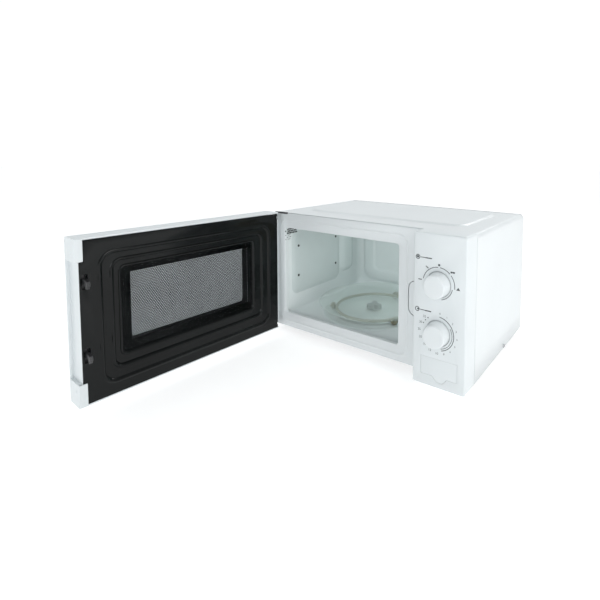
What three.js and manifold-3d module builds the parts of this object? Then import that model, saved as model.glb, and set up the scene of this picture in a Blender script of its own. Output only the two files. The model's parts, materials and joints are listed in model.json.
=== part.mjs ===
// Compact countertop microwave oven with a side-hinged door, shown with its door open.
// Millimetres, +Z up, +X to the user's right, front towards -Y.
// The origin is on the underside of the base plate, at its centre; the feet reach below it.
import * as THREE from 'three';
import { mergeVertices } from 'three/addons/utils/BufferGeometryUtils.js';
import Module from 'manifold-3d';

const wasm = await Module();
wasm.setup();

// ---- driving dimensions -------------------------------------------------------------
const WIDTH = 440;
const DEPTH = 305;
const HEIGHT = 240;
const FOOT_HEIGHT = 12;
const SHEET = 1.2;
const GAP = 0.4;

const HALF_WIDTH = WIDTH / 2;
const FRONT = -DEPTH / 2;
const BACK = DEPTH / 2;
const PLATE_FRONT = FRONT + 38.5;
const PLATE_BACK = PLATE_FRONT + SHEET;

const PANEL_LEFT = 132;
const PANEL_WALL = 2.5;
const KNOB_X = 175;
const POWER_Z = 162.8;
const TIMER_Z = 87;
const KNOB_RADIUS = 19.5;
const KNOB_LENGTH = 17;

const OPENING = { left: -184, right: 82.5, bottom: 30, top: 205.5, radius: 5 };
const CAVITY = { left: -187, right: 86, floor: 27, ceiling: 208.5, rear: BACK - 12 };

const TURN_X = -48;
const TURN_Y = 6;
const RING_RADIUS = 88;
const WHEEL_RADIUS = 7;
const PLATE_RADIUS = 116;
const PLATE_SEAT = CAVITY.floor + 2 * WHEEL_RADIUS + 0.6;

const HINGE_X = -212;
const HINGE_Y = FRONT + 17;
const DOOR = { left: -219, right: 131, bottom: 0.5, top: 239.5, depth: 36.5 };
const DOOR_BACK = FRONT + DOOR.depth;
const DOOR_ANGLE = THREE.MathUtils.degToRad(93.3);
const GRIP = { depth: 4.7, low: 34, high: 207 };
const LATCH_X = 119.3;
const LATCH_TOP = 180;
const LATCH_BOTTOM = 75;

const CORD = { x: 196, z: 214 };
const SWITCH_SLOT = { left: 107, right: 121, low: 94, high: 150 };
const FAN = { x: 150, z: 100, radius: 42, wall: BACK - 34 };

// ---- materials ----------------------------------------------------------------------
const material = (color, roughness = 0.5, metalness = 0) =>
  new THREE.MeshStandardMaterial({ color, roughness, metalness });
const WHITE_PAINT = material(0xeceeee, 0.35);
const WHITE_PLASTIC = material(0xe9ecee, 0.4);
const CAVITY_ENAMEL = material(0xdfe6e0, 0.3);
const BLACK_GLOSS = material(0x0c0d10, 0.12);
const BLACK_PLASTIC = material(0x1b1c1e, 0.5);
const GLASS = material(0xdde8ea, 0.05);
const STEEL = material(0x9a9c9e, 0.35, 1);
const ALUMINIUM = material(0xb8babc, 0.4, 1);
const COPPER = material(0xa5592c, 0.4, 1);
const RUBBER = material(0x202022, 0.8);
const ROLLER_BROWN = material(0x8b8468, 0.5);
const PHENOLIC = material(0x3a2c20, 0.6);
const MICA = material(0xb9a98a, 0.6);
const CIRCUIT_GREEN = material(0x2f6b45, 0.5);

// ---- shape helpers ------------------------------------------------------------------
const root = new THREE.Group();
const door = new THREE.Group();
door.position.set(HINGE_X, HINGE_Y, 0);
door.rotation.z = -DOOR_ANGLE;
root.add(door);

function solid(geometry) {
  const bare = geometry.index ? geometry.toNonIndexed() : geometry.clone();
  for (const name of Object.keys(bare.attributes)) {
    if (name !== 'position') bare.deleteAttribute(name);
  }
  const merged = mergeVertices(bare, 1e-4);
  return new wasm.Manifold(new wasm.Mesh({
    numProp: 3,
    vertProperties: new Float32Array(merged.attributes.position.array),
    triVerts: new Uint32Array(merged.index.array),
  }));
}

function fromSolid(manifold) {
  const mesh = manifold.getMesh();
  const geometry = new THREE.BufferGeometry();
  geometry.setAttribute('position', new THREE.BufferAttribute(mesh.vertProperties, 3));
  geometry.setIndex(new THREE.BufferAttribute(mesh.triVerts, 1));
  return geometry;
}

const join = (first, ...rest) => rest.reduce((sum, next) => sum.add(next), first);
const cut = (first, ...rest) => rest.reduce((left, next) => left.subtract(next), first);

// a block given by its lowest and highest corners
function block(x0, x1, y0, y1, z0, z1) {
  const geometry = new THREE.BoxGeometry(x1 - x0, y1 - y0, z1 - z0);
  return geometry.translate((x0 + x1) / 2, (y0 + y1) / 2, (z0 + z1) / 2);
}

// a round bar from one end to the other along X, Y or Z
function bar(axis, radius, from, to, a, b, sides = 24, endRadius = radius) {
  const geometry = new THREE.CylinderGeometry(endRadius, radius, to - from, sides);
  const middle = (from + to) / 2;
  if (axis === 'z') return geometry.rotateX(Math.PI / 2).translate(a, b, middle);
  if (axis === 'y') return geometry.translate(a, middle, b);
  return geometry.rotateZ(-Math.PI / 2).translate(middle, a, b);
}

// a rounded rectangle outline, as a shape or as a hole
function rounded(x0, x1, y0, y1, radius, kind = THREE.Shape) {
  const path = new kind();
  path.moveTo(x0 + radius, y0);
  path.lineTo(x1 - radius, y0);
  path.absarc(x1 - radius, y0 + radius, radius, -Math.PI / 2, 0, false);
  path.lineTo(x1, y1 - radius);
  path.absarc(x1 - radius, y1 - radius, radius, 0, Math.PI / 2, false);
  path.lineTo(x0 + radius, y1);
  path.absarc(x0 + radius, y1 - radius, radius, Math.PI / 2, Math.PI, false);
  path.lineTo(x0, y0 + radius);
  path.absarc(x0 + radius, y0 + radius, radius, Math.PI, 1.5 * Math.PI, false);
  return path;
}

const roundedHole = (x0, x1, y0, y1, radius) => rounded(x0, x1, y0, y1, radius, THREE.Path);

function circleHole(x, y, radius) {
  const path = new THREE.Path();
  path.absarc(x, y, radius, 0, 2 * Math.PI, false);
  return path;
}

// an outline in the XZ plane, run along Y from the front face to the back face
function along(shape, y0, y1, curveSegments = 5) {
  const geometry = new THREE.ExtrudeGeometry(shape, {
    depth: y1 - y0, bevelEnabled: false, curveSegments,
  });
  return geometry.rotateX(Math.PI / 2).translate(0, y1, 0);
}

// an outline in the XY plane, run up along Z
function upward(shape, z0, z1, curveSegments = 5) {
  const geometry = new THREE.ExtrudeGeometry(shape, {
    depth: z1 - z0, bevelEnabled: false, curveSegments,
  });
  return geometry.translate(0, 0, z0);
}

function ring(outer, inner, thickness, front) {
  const shape = rounded(...outer);
  shape.holes.push(roundedHole(...inner));
  return along(shape, front, front + thickness);
}

function add(name, geometry, finish, parent = root) {
  const mesh = new THREE.Mesh(geometry, finish);
  mesh.name = name;
  parent.add(mesh);
  return mesh;
}

// door pieces are drawn where they are with the door closed, then moved to the hinge's frame
function addDoor(name, geometry, finish) {
  add(name, geometry.translate(-HINGE_X, -HINGE_Y, 0), finish, door);
}

// ---- cabinet ------------------------------------------------------------------------
function outerCabinet() {
  const bend = 7;
  const outer = rounded(-HALF_WIDTH, HALF_WIDTH, 2, HEIGHT, bend);
  const wrap = solid(along(outer, PLATE_BACK + GAP, BACK - SHEET));
  const inside = rounded(-HALF_WIDTH + SHEET, HALF_WIDTH - SHEET, -20, HEIGHT - SHEET, bend - SHEET);
  const hollow = solid(along(inside, PLATE_FRONT, BACK));
  const lowEdge = solid(block(-HALF_WIDTH - 1, HALF_WIDTH + 1, PLATE_FRONT, BACK, -1, 10));
  const legs = [-1, 1].map((side) => {
    const x = side * (HALF_WIDTH - SHEET / 2);
    return solid(block(x - SHEET / 2, x + SHEET / 2, PLATE_BACK + GAP, BACK - SHEET, 2, 11));
  });
  add('outer_cabinet', fromSolid(join(cut(wrap, hollow, lowEdge), ...legs)), WHITE_PAINT);
}

// the feet are rubber grommets pushed through punched holes in the base plate
const FOOT = { x: HALF_WIDTH - 35, front: PLATE_BACK + 50, rear: BACK - 34, top: 14, sole: 11, hole: 14.8 };
const FOOT_PLACES = {
  foot_front_left: [-FOOT.x, FOOT.front],
  foot_front_right: [FOOT.x, FOOT.front],
  foot_rear_left: [-FOOT.x, FOOT.rear],
  foot_rear_right: [FOOT.x, FOOT.rear],
};

function basePlate() {
  const edge = HALF_WIDTH - SHEET - GAP;
  const shape = rounded(-edge, edge, PLATE_BACK + GAP, BACK - SHEET - GAP, 2);
  for (const [x, y] of Object.values(FOOT_PLACES)) shape.holes.push(circleHole(x, y, FOOT.hole));
  add('base_plate', upward(shape, 0, SHEET, 32), STEEL);
}

function rearPanel() {
  const shape = rounded(-HALF_WIDTH + 3, HALF_WIDTH - 3, 2, HEIGHT - 2, 3);
  for (let i = 0; i < 9; i += 1) {
    const z = FAN.z - 36 + i * 9;
    shape.holes.push(roundedHole(FAN.x - 34, FAN.x + 34, z - 2, z + 2, 1.9));
  }
  shape.holes.push(circleHole(CORD.x, CORD.z, 7));
  add('rear_panel', along(shape, BACK - SHEET + 0.2, BACK, 4), STEEL);
}

function frontPlate() {
  const shape = rounded(-HALF_WIDTH, HALF_WIDTH, 1, HEIGHT - 0.5, 4);
  shape.holes.push(roundedHole(OPENING.left, OPENING.right, OPENING.bottom, OPENING.top, OPENING.radius));
  for (const z of [LATCH_TOP, LATCH_BOTTOM]) {
    shape.holes.push(roundedHole(LATCH_X - 6, LATCH_X + 6, z - 14, z + 11, 2));
  }
  shape.holes.push(roundedHole(SWITCH_SLOT.left, SWITCH_SLOT.right, SWITCH_SLOT.low, SWITCH_SLOT.high, 6));
  shape.holes.push(roundedHole(PANEL_LEFT + 8, HALF_WIDTH - 14, 28, HEIGHT - 40, 4));
  add('front_plate', along(shape, PLATE_FRONT, PLATE_BACK), WHITE_PAINT);
}

function cavityWalls() {
  const { left, right, floor, ceiling, rear } = CAVITY;
  const front = PLATE_BACK + GAP;
  const floorShape = rounded(left, right, front, rear, 4);
  floorShape.holes.push(circleHole(TURN_X, TURN_Y, 9));
  add('cavity_floor', upward(floorShape, floor - SHEET, floor), CAVITY_ENAMEL);
  const roof = block(left, right, front, rear, ceiling, ceiling + SHEET);
  add('cavity_ceiling', roof, CAVITY_ENAMEL);
  const low = floor - SHEET;
  const high = ceiling + SHEET;
  const leftWall = block(left - GAP - SHEET, left - GAP, front, rear, low, high);
  add('cavity_left_wall', leftWall, CAVITY_ENAMEL);
  const rightWall = cut(
    solid(block(right + GAP, right + GAP + SHEET, front, rear, low, high)),
    solid(block(right - 2, right + 4, -24, 46, 128, 166)),
  );
  add('cavity_right_wall', fromSolid(rightWall), CAVITY_ENAMEL);
  const rearWall = block(left - SHEET, right + SHEET, rear + GAP, rear + GAP + SHEET, low, high);
  add('cavity_rear_wall', rearWall, CAVITY_ENAMEL);
  const cover = block(right - 0.9, right, -34, 56, 120, 174);
  add('waveguide_cover', cover, MICA);
}

function feet() {
  for (const [name, [x, y]] of Object.entries(FOOT_PLACES)) {
    const pad = solid(bar('z', FOOT.sole, -FOOT_HEIGHT, 0, x, y, 24, FOOT.top));
    const neck = solid(bar('z', FOOT.top, -1, SHEET + 1, x, y, 24));
    const flange = solid(bar('z', FOOT.hole + 2.2, SHEET, SHEET + 2, x, y, 24));
    add(name, fromSolid(join(pad, neck, flange)), RUBBER);
  }
}

// ---- microwave source, power supply and cooling -------------------------------------
function powerParts() {
  const guideLeft = CAVITY.right + SHEET + 2 * GAP;
  const guide = cut(
    solid(block(guideLeft, guideLeft + 34, -30, 52, 122, 172)),
    solid(block(guideLeft - 1, guideLeft + 34 - SHEET, -30 + SHEET, 52 - SHEET, 122 + SHEET, 172 - SHEET)),
    solid(bar('x', 13, guideLeft + 30, guideLeft + 40, 11, 147)),
  );
  add('waveguide', fromSolid(guide), STEEL);

  const yokeLeft = guideLeft + 34 + GAP;
  const magnetron = join(
    cut(
      solid(block(yokeLeft, yokeLeft + 56, -28, 50, 112, 182)),
      ...[0, 1, 2, 3, 4].map((i) => solid(
        block(yokeLeft + 8 + i * 9, yokeLeft + 13 + i * 9, -40, 60, 122, 172),
      )),
    ),
    solid(bar('x', 9, yokeLeft - 14, yokeLeft + 2, 11, 147)),
    solid(block(yokeLeft + 55, yokeLeft + 72, 0, 22, 136, 158)),
  );
  add('magnetron', fromSolid(magnetron), STEEL);
  add('thermal_cutout', bar('z', 8, 182.3, 190, yokeLeft + 28, 11, 16), PHENOLIC);

  const coreShape = rounded(104, 196, SHEET + GAP, 78, 1);
  coreShape.holes.push(roundedHole(118, 134, 18, 64, 0.5));
  coreShape.holes.push(roundedHole(166, 182, 18, 64, 0.5));
  add('transformer_core', along(coreShape, 10, 60, 1), STEEL);
  const coilShape = rounded(119, 181, -3, 73, 6);
  coilShape.holes.push(roundedHole(133, 167, 9, 61, 2));
  add('transformer_winding', upward(coilShape, 20, 62, 3), COPPER);

  const can = join(
    solid(upward(rounded(104, 154, -66, -34, 15.9), 6, 70, 6)),
    solid(bar('z', 3, 69, 78, 118, -50, 12)),
    solid(bar('z', 3, 69, 78, 140, -50, 12)),
  );
  add('capacitor', fromSolid(can), ALUMINIUM);
  add('high_voltage_diode', bar('x', 3.5, 160, 184, -50, 12, 12), BLACK_PLASTIC);
  add('capacitor_clamp', upward(clampShape(), 30, 42, 6), STEEL);
}

// a strap round the capacitor, open at one corner, with a foot on each end
function clampShape() {
  const strap = rounded(102.2, 155.8, -67.8, -32.2, 17.2);
  strap.holes.push(roundedHole(103.6, 154.4, -66.4, -33.6, 16.2));
  return strap;
}

function fanParts() {
  const { x, z, radius, wall } = FAN;
  const shape = rounded(x - 48, x + 48, z - 50, z + 50, 5);
  shape.holes.push(circleHole(x, z, radius + 3));
  add('fan_housing', along(shape, wall, wall + 18, 10), BLACK_PLASTIC);
  const hub = solid(bar('y', 9, wall + 3, wall + 14, x, z, 20));
  const bore = solid(bar('y', 2.4, wall, wall + 20, x, z, 12));
  const blades = [];
  for (let i = 0; i < 7; i += 1) {
    const blade = new THREE.BoxGeometry(radius - 8, 1.6, 17);
    blade.rotateX(0.6).translate((radius + 4) / 2 + 2, wall + 8.5, 0);
    blades.push(solid(blade.rotateY((i * 2 * Math.PI) / 7).translate(x, 0, z)));
  }
  add('fan_blade', fromSolid(cut(join(hub, ...blades), bore)), BLACK_PLASTIC);
  const motor = join(
    solid(block(x - 24, x + 24, wall - 26, wall - 10, z - 22, z + 26)),
    solid(bar('y', 9, wall - 11, wall - 2, x, z, 16)),
    solid(bar('y', 2, wall - 4, wall + 15, x, z, 12)),
  );
  add('fan_motor', fromSolid(motor), STEEL);
}

function smallElectrics() {
  const socket = cut(
    solid(block(CAVITY.right + 12, CAVITY.right + 32, 86, 106, 190, 214)),
    solid(bar('z', 7, 180, 205, CAVITY.right + 22, 96, 16)),
  );
  add('lamp_socket', fromSolid(socket), PHENOLIC);
  const bulbPoints = [[0, 160], [6, 162], [9, 168], [9, 175], [6, 184], [6, 203], [0, 203]];
  const bulb = new THREE.LatheGeometry(bulbPoints.map(([r, h]) => new THREE.Vector2(r, h)), 16);
  add('lamp_bulb', bulb.rotateX(Math.PI / 2).translate(CAVITY.right + 22, 96, 0), GLASS);

  const board = join(
    solid(block(100, 168, 60, 118, 218, 219.6)),
    solid(bar('z', 11, 219, 232, 120, 80, 16)),
    solid(block(138, 160, 68, 88, 219, 232)),
    solid(bar('x', 3, 132, 160, 106, 222, 10)),
  );
  add('noise_filter_board', fromSolid(board), CIRCUIT_GREEN);

  const gland = join(
    solid(bar('y', 6, BACK - 8, BACK, CORD.x, CORD.z, 16)),
    solid(bar('y', 9, BACK - 12, BACK - SHEET - GAP, CORD.x, CORD.z, 16)),
  );
  const bore = solid(bar('y', 3.6, BACK - 20, BACK + 5, CORD.x, CORD.z, 16));
  add('cord_gland', fromSolid(cut(gland, bore)), RUBBER);
}

// ---- turntable ----------------------------------------------------------------------
function turntable() {
  const motor = join(
    solid(bar('z', 25, 5, 21, TURN_X, TURN_Y, 28)),
    solid(block(TURN_X - 33, TURN_X + 33, TURN_Y - 6, TURN_Y + 6, 19, 21)),
  );
  const bore = solid(bar('z', 4.6, 12, 30, TURN_X, TURN_Y, 20));
  add('turntable_motor', fromSolid(cut(motor, bore)), STEEL);

  const shaft = solid(bar('z', 4.2, 13, CAVITY.floor + 3, TURN_X, TURN_Y, 20));
  const hub = solid(bar('z', 12, CAVITY.floor + 2, PLATE_SEAT - 0.6, TURN_X, TURN_Y, 24));
  const lobes = [0, 1, 2].map((i) => {
    const angle = (i * 2 * Math.PI) / 3;
    const x = TURN_X + 12 * Math.cos(angle);
    const y = TURN_Y + 12 * Math.sin(angle);
    return solid(bar('z', 6, CAVITY.floor + 5, PLATE_SEAT - 0.6, x, y, 16));
  });
  add('turntable_coupler', fromSolid(join(shaft, hub, ...lobes)), BLACK_PLASTIC);

  const rim = PLATE_SEAT + 9;
  const profile = [
    [0, PLATE_SEAT], [PLATE_RADIUS - 13, PLATE_SEAT], [PLATE_RADIUS - 5, PLATE_SEAT + 2],
    [PLATE_RADIUS, rim - 1], [PLATE_RADIUS - 1, rim], [PLATE_RADIUS - 3, rim - 0.6],
    [PLATE_RADIUS - 8, PLATE_SEAT + 6], [PLATE_RADIUS - 15, PLATE_SEAT + 4.5], [0, PLATE_SEAT + 4.5],
  ];
  const plate = new THREE.LatheGeometry(profile.map(([r, h]) => new THREE.Vector2(r, h)), 48);
  add('glass_turntable', plate.rotateX(Math.PI / 2).translate(TURN_X, TURN_Y, 0), GLASS);
  rollerRing();
}

function rollerRing() {
  const middle = CAVITY.floor + WHEEL_RADIUS + 0.3;
  const inner = RING_RADIUS - 11;
  const band = [
    [inner, middle - 3], [inner + 4, middle - 3], [inner + 4, middle + 3], [inner, middle + 3],
    [inner, middle - 3],
  ];
  const hoop = new THREE.LatheGeometry(band.map(([r, h]) => new THREE.Vector2(r, h)), 48);
  let body = solid(hoop.rotateX(Math.PI / 2));
  for (let i = 0; i < 3; i += 1) {
    const angle = Math.PI / 2 + (i * 2 * Math.PI) / 3;
    const axle = bar('x', 2, inner + 2, RING_RADIUS + 6, 0, middle, 12).rotateZ(angle);
    body = body.add(solid(axle));
    const outline = new THREE.Shape();
    outline.absarc(0, 0, WHEEL_RADIUS, 0, 2 * Math.PI, false);
    outline.holes.push(circleHole(0, 0, 2.4));
    const wheel = new THREE.ExtrudeGeometry(outline, { depth: 7, bevelEnabled: false, curveSegments: 14 });
    wheel.rotateY(Math.PI / 2).translate(RING_RADIUS - 3.5, 0, middle).rotateZ(angle);
    add(`roller_wheel_${i + 1}`, wheel.translate(TURN_X, TURN_Y, 0), ROLLER_BROWN);
  }
  add('roller_ring', fromSolid(body).translate(TURN_X, TURN_Y, 0), ROLLER_BROWN);
}

// ---- control panel ------------------------------------------------------------------
const BUTTON = { left: 147, right: 207.5, bottom: 18, top: 46, tab: 8 };

// a rectangle with a tapered tab at the middle of its lower edge; grow widens the whole outline
function buttonOutline(grow) {
  const { left, right, bottom, top, tab } = BUTTON;
  const middle = (left + right) / 2;
  const points = [
    [left - grow, bottom - grow], [middle - 12 - grow, bottom - grow], [middle - 5 - grow, bottom - tab - grow],
    [middle + 5 + grow, bottom - tab - grow], [middle + 12 + grow, bottom - grow], [right + grow, bottom - grow],
    [right + grow, top + grow], [left - grow, top + grow],
  ];
  return new THREE.Shape(points.map(([x, z]) => new THREE.Vector2(x, z)));
}

function controlPanel() {
  const left = PANEL_LEFT;
  const wall = PANEL_WALL;
  const shell = solid(along(rounded(left, HALF_WIDTH, 0, HEIGHT, 4), FRONT, PLATE_FRONT - GAP));
  const inside = solid(along(
    rounded(left + wall, HALF_WIDTH - wall, wall, HEIGHT - wall, 2), FRONT + wall, PLATE_FRONT + 5,
  ));
  const buttonHole = solid(along(buttonOutline(0.5), FRONT - 5, FRONT + 10));
  const shafts = [POWER_Z, TIMER_Z].map((z) => solid(bar('y', 5, FRONT - 5, FRONT + 10, KNOB_X, z)));
  add('control_panel', fromSolid(cut(shell, inside, buttonHole, ...shafts)), WHITE_PLASTIC);

  const knobs = { power_knob: POWER_Z, timer_knob: TIMER_Z };
  for (const [name, z] of Object.entries(knobs)) {
    const face = FRONT - 0.8;
    const disc = solid(bar('y', KNOB_RADIUS - 2, face - KNOB_LENGTH, face, KNOB_X, z, 40, KNOB_RADIUS));
    const stem = solid(bar('y', 3, face - 2, FRONT + 12, KNOB_X, z, 16));
    add(name, fromSolid(join(disc, stem)), WHITE_PLASTIC);
  }

  const units = { power_selector: [POWER_Z, 22, 26], timer_unit: [TIMER_Z, 26, 32] };
  for (const [name, [z, half, depth]] of Object.entries(units)) {
    const front = FRONT + 5.5;
    const unit = cut(
      solid(block(KNOB_X - half, KNOB_X + half, front, front + depth, z - half, z + half)),
      solid(bar('y', 3.4, front - 1, FRONT + 14, KNOB_X, z, 16)),
    );
    add(name, fromSolid(unit), STEEL);
  }
}

function releaseParts() {
  const { left, bottom } = BUTTON;
  const cap = solid(along(buttonOutline(0), FRONT, FRONT + 9));
  const pusher = solid(block(left + 4, left + 12, FRONT + 8, PLATE_FRONT + 8, bottom + 12, bottom + 18));
  add('door_release_button', fromSolid(join(cap, pusher)), WHITE_PLASTIC);

  const bracketRight = PANEL_LEFT - 3;
  const bracket = cut(
    solid(block(LATCH_X - 12, bracketRight + 1, PLATE_BACK + GAP, PLATE_BACK + 40, 20, 200)),
    solid(block(LATCH_X - 9, bracketRight + 3, PLATE_BACK - 1, PLATE_BACK + 37, 23, 197)),
    solid(block(LATCH_X - 20, bracketRight + 3, PLATE_BACK + 8, PLATE_BACK + 60, 84, 150)),
  );
  add('interlock_bracket', fromSolid(bracket), BLACK_PLASTIC);

  const switches = { door_switch_top: 186, door_switch_middle: 150, door_switch_bottom: 26 };
  for (const [name, z] of Object.entries(switches)) {
    const y = PLATE_BACK + 26;
    const bodyTop = z + 10;
    add(name, block(LATCH_X - 7.5, LATCH_X + 3, y, y + 10.5, z, Math.min(bodyTop, 196)), BLACK_PLASTIC);
  }

  const pivotY = PLATE_BACK + 10;
  const leverLeft = left + 4;
  const leverRight = left + 9;
  const lever = join(
    solid(bar('x', 5, leverLeft, leverRight, pivotY, 60, 20)),
    solid(block(leverLeft, leverRight, pivotY - 2.5, pivotY + 2.5, 30, 60)),
    solid(block(leverLeft, leverRight, pivotY, pivotY + 16, 57, 62)),
  );
  const leverBore = solid(bar('x', 2.3, leverLeft - 2, leverRight + 2, pivotY, 60, 16));
  add('release_lever', fromSolid(cut(lever, leverBore)), BLACK_PLASTIC);
  const pin = join(
    solid(bar('x', 2, PANEL_LEFT - 1, leverRight + 3, pivotY, 60, 12)),
    solid(block(PANEL_LEFT - 1, PANEL_LEFT + 1.5, PLATE_BACK + GAP, pivotY + 3, 54, 66)),
  );
  add('lever_pivot', fromSolid(pin), STEEL);
}

// ---- door ---------------------------------------------------------------------------
const WINDOW = { left: -162, right: 81, bottom: 48, top: 198 };

function hingeBrackets() {
  const arm = { low: 228, high: 230, pin: 14 };
  const places = { hinge_upper: 1, hinge_lower: -1 };
  for (const [name, way] of Object.entries(places)) {
    const at = (z) => (way > 0 ? z : HEIGHT - z);
    const span = (a, b) => [Math.min(at(a), at(b)), Math.max(at(a), at(b))];
    const plate = solid(block(HINGE_X - 6, HINGE_X + 6, HINGE_Y - 6, PLATE_FRONT - 0.3, ...span(arm.low, arm.high)));
    const flange = solid(block(HINGE_X - 6, HINGE_X + 12, PLATE_FRONT - 2, PLATE_FRONT - 0.3, ...span(212, 230)));
    const pin = solid(bar('z', 3, ...span(arm.low + 1, arm.low - arm.pin), HINGE_X, HINGE_Y, 20));
    add(name, fromSolid(join(plate, flange, pin)), STEEL);
  }
}

function doorFrame() {
  const { left, right, bottom, top } = DOOR;
  const wall = 3;
  const rimBack = DOOR_BACK - 1.2;
  const face = ring(
    [left, right, bottom, top, 6],
    [WINDOW.left, WINDOW.right, WINDOW.bottom, WINDOW.top, 6], wall, FRONT,
  );
  const rimShape = rounded(left, right, bottom, top, 4);
  rimShape.holes.push(roundedHole(left + wall, right - GRIP.depth - wall + 0.6, bottom + wall, top - wall, 3));
  const rim = along(rimShape, FRONT + wall - 0.5, rimBack);
  const grip = solid(block(right - GRIP.depth, right + 5, FRONT + wall, DOOR_BACK + 5, GRIP.low, GRIP.high));
  const bosses = [];
  const pockets = [];
  for (const way of [1, -1]) {
    const span = (a, b) => (way > 0 ? [a, b] : [HEIGHT - b, HEIGHT - a]);
    bosses.push(solid(block(left + 1, HINGE_X + 8, FRONT + 1, HINGE_Y + 8, ...span(204, 224))));
    pockets.push(solid(block(left - 3, HINGE_X + 14, HINGE_Y - 13, DOOR_BACK + 5, ...span(224, 245))));
    pockets.push(solid(block(left - 3, HINGE_X + 14, HINGE_Y + 10, DOOR_BACK + 5, ...span(204, 230))));
    pockets.push(solid(bar('z', 3.4, ...span(200, 240), HINGE_X, HINGE_Y, 20)));
  }
  const shell = cut(join(solid(face), solid(rim), ...bosses), grip, ...pockets);
  addDoor('door_frame', fromSolid(shell), WHITE_PLASTIC);
}

function doorLayers() {
  const { left, right, bottom, top } = DOOR;
  const clear = 0.5;
  const pane = rounded(
    WINDOW.left + clear, WINDOW.right - clear, WINDOW.bottom + clear, WINDOW.top - clear, 5.5,
  );
  addDoor('door_outer_window', along(pane, FRONT, FRONT + 2.6), BLACK_GLOSS);

  const coverLeft = left + 16;
  const coverRight = right - GRIP.depth - 3.2;
  const cover = rounded(coverLeft, coverRight, bottom + 5, top - 5, 6);
  cover.holes.push(roundedHole(WINDOW.left + 10, WINDOW.right - 10, WINDOW.bottom + 8, WINDOW.top - 8, 5));
  for (const z of [LATCH_TOP, LATCH_BOTTOM]) {
    cover.holes.push(roundedHole(LATCH_X - 3, LATCH_X + 3, z - 12, z + 9, 1.5));
  }
  addDoor('door_choke_cover', along(cover, DOOR_BACK - 3, DOOR_BACK), BLACK_GLOSS);

  const metalBack = DOOR_BACK - 3.4;
  const metal = ring(
    [coverLeft + 4, LATCH_X - 8, bottom + 9, top - 9, 5],
    [WINDOW.left + 4, WINDOW.right - 4, WINDOW.bottom + 3, WINDOW.top - 3, 5], 9, metalBack - 9,
  );
  addDoor('door_metal_frame', metal, STEEL);
  const screen = rounded(WINDOW.left + 4.5, WINDOW.right - 4.5, WINDOW.bottom + 3.5, WINDOW.top - 3.5, 4.5);
  addDoor('door_screen', along(screen, metalBack - 1, metalBack), BLACK_PLASTIC);
  const film = rounded(WINDOW.left + 10.5, WINDOW.right - 10.5, WINDOW.bottom + 8.5, WINDOW.top - 8.5, 4.5);
  addDoor('door_inner_film', along(film, DOOR_BACK - 2.9, DOOR_BACK - 2.3), GLASS);
}

// a vertical bar inside the door's free edge, with one hook at each end reaching into the cabinet
function latch() {
  const half = 2.2;
  const [near, far] = [LATCH_X - half, LATCH_X + half];
  const pieces = [solid(block(near, far, DOOR_BACK - 12, DOOR_BACK - 6, LATCH_BOTTOM - 20, LATCH_TOP + 10))];
  for (const z of [LATCH_TOP, LATCH_BOTTOM]) {
    pieces.push(solid(block(near, far, DOOR_BACK - 8, DOOR_BACK + 15, z - 5, z + 3)));
    pieces.push(solid(block(near, far, DOOR_BACK + 8, DOOR_BACK + 15, z - 10, z + 1)));
  }
  addDoor('latch_hooks', fromSolid(join(...pieces)), BLACK_PLASTIC);
}

outerCabinet();
basePlate();
rearPanel();
frontPlate();
cavityWalls();
feet();
powerParts();
fanParts();
smallElectrics();
turntable();
controlPanel();
releaseParts();
hingeBrackets();
doorFrame();
doorLayers();
latch();

export default root;
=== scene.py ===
import json
import math

import bmesh
import bpy
from mathutils import Matrix, Vector


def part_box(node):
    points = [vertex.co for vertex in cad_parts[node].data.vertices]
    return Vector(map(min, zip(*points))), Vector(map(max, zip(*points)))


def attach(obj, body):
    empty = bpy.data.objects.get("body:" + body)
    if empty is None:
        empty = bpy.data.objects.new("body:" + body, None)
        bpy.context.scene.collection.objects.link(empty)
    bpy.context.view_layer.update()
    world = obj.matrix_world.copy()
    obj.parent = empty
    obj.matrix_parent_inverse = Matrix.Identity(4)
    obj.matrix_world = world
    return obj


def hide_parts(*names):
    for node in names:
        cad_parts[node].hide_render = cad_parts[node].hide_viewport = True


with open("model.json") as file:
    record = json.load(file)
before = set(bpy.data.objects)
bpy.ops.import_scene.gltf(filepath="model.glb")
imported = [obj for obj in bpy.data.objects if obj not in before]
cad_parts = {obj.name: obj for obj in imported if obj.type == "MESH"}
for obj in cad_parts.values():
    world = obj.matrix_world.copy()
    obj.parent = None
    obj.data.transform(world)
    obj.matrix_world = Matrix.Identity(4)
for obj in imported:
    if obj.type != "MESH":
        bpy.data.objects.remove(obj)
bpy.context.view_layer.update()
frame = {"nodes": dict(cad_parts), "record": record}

MM = 0.001


# ---- places, in millimetres, from the frame ------------------------------------------
def corners(node):
    low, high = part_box(node)
    return [v / MM for v in low], [v / MM for v in high]


def joint(name):
    return next(j for j in frame["record"]["behaviour"]["joints"] if j["name"] == name)


(CAB_X0, _, CAB_Z0), (CAB_X1, CAB_Y1, CAB_Z1) = corners("outer_cabinet")
(PANEL_X0, FRONT, PANEL_Z0), (PANEL_X1, _, PANEL_Z1) = corners("control_panel")
(_, PLATE_FRONT, _), (_, PLATE_BACK, _) = corners("front_plate")
(FLOOR_X0, _, _), (FLOOR_X1, _, FLOOR_Z) = corners("cavity_floor")
(_, _, CEILING_Z), _ = corners("cavity_ceiling")
(_, REAR_Y, _), _ = corners("cavity_rear_wall")
_, (_, BACK, _) = corners("rear_panel")
DOOR_LOW, DOOR_HIGH = (corners("door_frame")[i][2] for i in (0, 1))

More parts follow.
